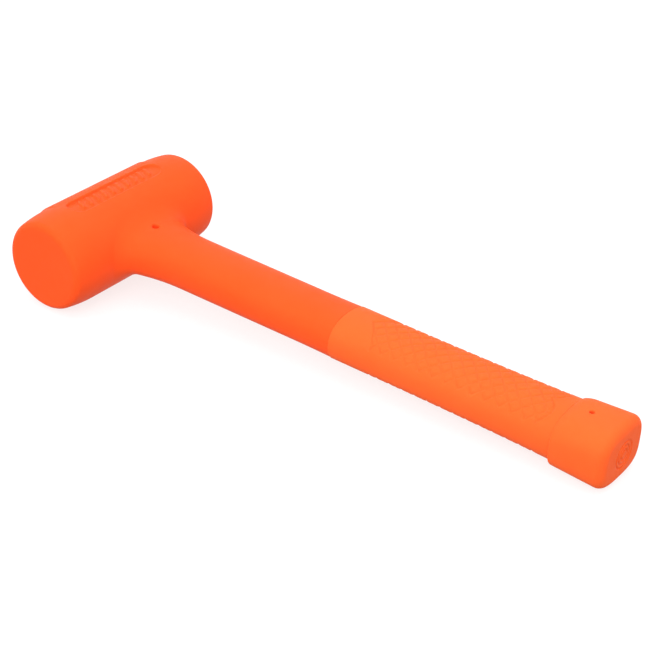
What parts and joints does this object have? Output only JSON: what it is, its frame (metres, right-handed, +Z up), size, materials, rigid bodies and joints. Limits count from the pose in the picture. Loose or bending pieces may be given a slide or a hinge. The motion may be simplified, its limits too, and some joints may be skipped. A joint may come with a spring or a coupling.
{
  "type": "dead blow mallet",
  "caption": "One-piece urethane dead blow mallet with a cylindrical double-faced head, oval shank, textured grip, butt cap and a sliding shot charge inside.",
  "frame": {"origin": "on the surface the mallet lies on, under the middle of its bounding box", "axes": "+X along the head towards the front strike face, +Y from the butt cap to the head, +Z up from the surface"},
  "size_m": [0.0994, 0.3066, 0.047],
  "materials": {
    "head_urethane": "satin cast urethane, red orange",
    "grip_urethane": "matt cast urethane, lighter orange",
    "canister_steel": "drawn steel tube and pressings",
    "rod_steel": "cold-drawn bar",
    "shot_steel": "polished steel balls"
  },
  "bodies": {
    "mallet": {"head_jacket": "head_urethane", "grip_sleeve": "grip_urethane", "butt_cap": "grip_urethane", "canister_tube": "canister_steel", "canister_cap_front": "canister_steel", "canister_cap_rear": "canister_steel", "rod_socket": "canister_steel", "handle_rod": "rod_steel"},
    "shot": {"shot_charge": "shot_steel"}
  },
  "joints": [
    {"name": "shot_slide", "type": "slide", "parent": "mallet", "child": "shot", "axis": [1, 0, 0], "range_m": [-0.009, 0.009]}
  ]
}
